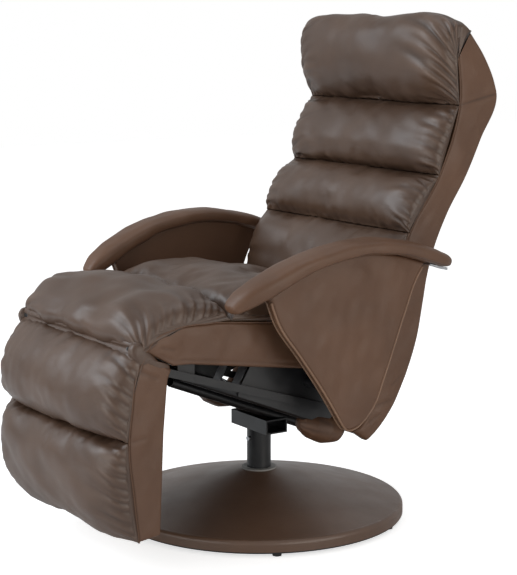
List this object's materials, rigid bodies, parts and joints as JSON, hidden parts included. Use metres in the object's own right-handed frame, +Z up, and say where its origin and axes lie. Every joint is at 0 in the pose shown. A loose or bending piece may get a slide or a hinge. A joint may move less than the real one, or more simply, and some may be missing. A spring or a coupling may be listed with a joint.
{
  "type": "star base swivel recliner",
  "caption": "Swivel recliner with padded back, headrest and footrest, curved arms over triangular sides, and a round pedestal base.",
  "frame": {"origin": "on the floor, on the swivel axis", "axes": "+Z up, the chair faces -Y, +X is the occupant's left"},
  "size_m": [0.6804, 0.9224, 1.031],
  "materials": {
    "leather": "satin",
    "base_skin": "satin",
    "black_metal": "satin",
    "zinc_steel": "satin",
    "dark_plastic": "matte",
    "pale_plastic": "satin",
    "red_plastic": "satin",
    "black_cloth": "matte",
    "plywood": "matte"
  },
  "bodies": {
    "base": {"base_dish": "base_skin", "base_plate": "black_metal", "base_feet": "dark_plastic", "column_tube": "black_metal", "column_collar": "pale_plastic", "column_screw": "zinc_steel", "upper_bush": "dark_plastic", "lower_bush": "dark_plastic"},
    "carriage": {"swivel_spindle": "zinc_steel", "swivel_head": "black_metal", "spine_tube_left": "black_metal", "spine_tube_right": "black_metal", "cross_tube_front": "black_metal", "cross_tube_rear": "black_metal", "seat_rail_left": "black_metal", "seat_rail_right": "black_metal", "side_plate_left": "black_metal", "side_plate_right": "black_metal", "footrest_bracket_left": "black_metal", "footrest_bracket_right": "black_metal", "seat_board": "plywood", "seat_front_cushion": "leather", "seat_rear_cushion": "leather", "seat_side_panel_left": "leather", "seat_side_panel_right": "leather", "dust_cover": "black_cloth", "rear_pouch_left": "leather", "rear_pouch_right": "leather", "arm_pad_left": "leather", "arm_pad_right": "leather", "arm_panel_left": "leather", "arm_panel_right": "leather", "arm_stays": "black_metal", "arm_end_plates": "zinc_steel", "pivot_pins": "zinc_steel", "frame_bolts": "zinc_steel", "spring_hangers": "zinc_steel", "tension_spring": "zinc_steel"},
    "release": {"release_lever": "zinc_steel", "release_grip": "red_plastic"},
    "backrest": {"back_bracket_left": "black_metal", "back_bracket_right": "black_metal", "back_board": "plywood", "back_side_panel_left": "leather", "back_side_panel_right": "leather", "back_rear_panel": "leather", "headrest_cushion": "leather", "back_upper_cushion": "leather", "back_middle_cushion": "leather", "back_lower_cushion": "leather"},
    "footrest": {"footrest_frame": "plywood", "footrest_upper_cushion": "leather", "footrest_lower_cushion": "leather", "footrest_side_panel_left": "leather", "footrest_side_panel_right": "leather", "footrest_lever_left": "black_metal", "footrest_lever_right": "black_metal"},
    "links": {"link_rod_left": "black_metal", "link_rod_right": "black_metal", "link_pins": "zinc_steel"}
  },
  "joints": [
    {"name": "swivel", "type": "hinge", "parent": "base", "child": "carriage", "pos_m": [0, 0, 0.18], "axis": [0, 0, 1], "continuous": true},
    {"name": "back_recline", "type": "hinge", "parent": "carriage", "child": "backrest", "pos_m": [0, 0.13, 0.31], "axis": [-1, 0, 0], "range_deg": [0, 30], "deforming": ["rear_pouch_left", "rear_pouch_right"]},
    {"name": "footrest_raise", "type": "hinge", "parent": "carriage", "child": "footrest", "pos_m": [0, -0.42, 0.431], "axis": [-1, 0, 0], "range_deg": [0, 75]},
    {"name": "link_swing", "type": "hinge", "parent": "backrest", "child": "links", "pos_m": [0, 0.11531, 0.23441], "axis": [-1, 0, 0], "range_deg": [-30.5, 0]},
    {"name": "release", "type": "hinge", "parent": "carriage", "child": "release", "pos_m": [0.175, -0.15584, 0.3062], "axis": [1, 0, 0], "range_deg": [0, 18], "stiffness_Nm_per_rad": 0.6}
  ],
  "couplings": [
    {"joint": "footrest_raise", "follows": "back_recline", "ratio": 2.5},
    {"joint": "link_swing", "follows": "back_recline", "ratio": -1.0114}
  ]
}
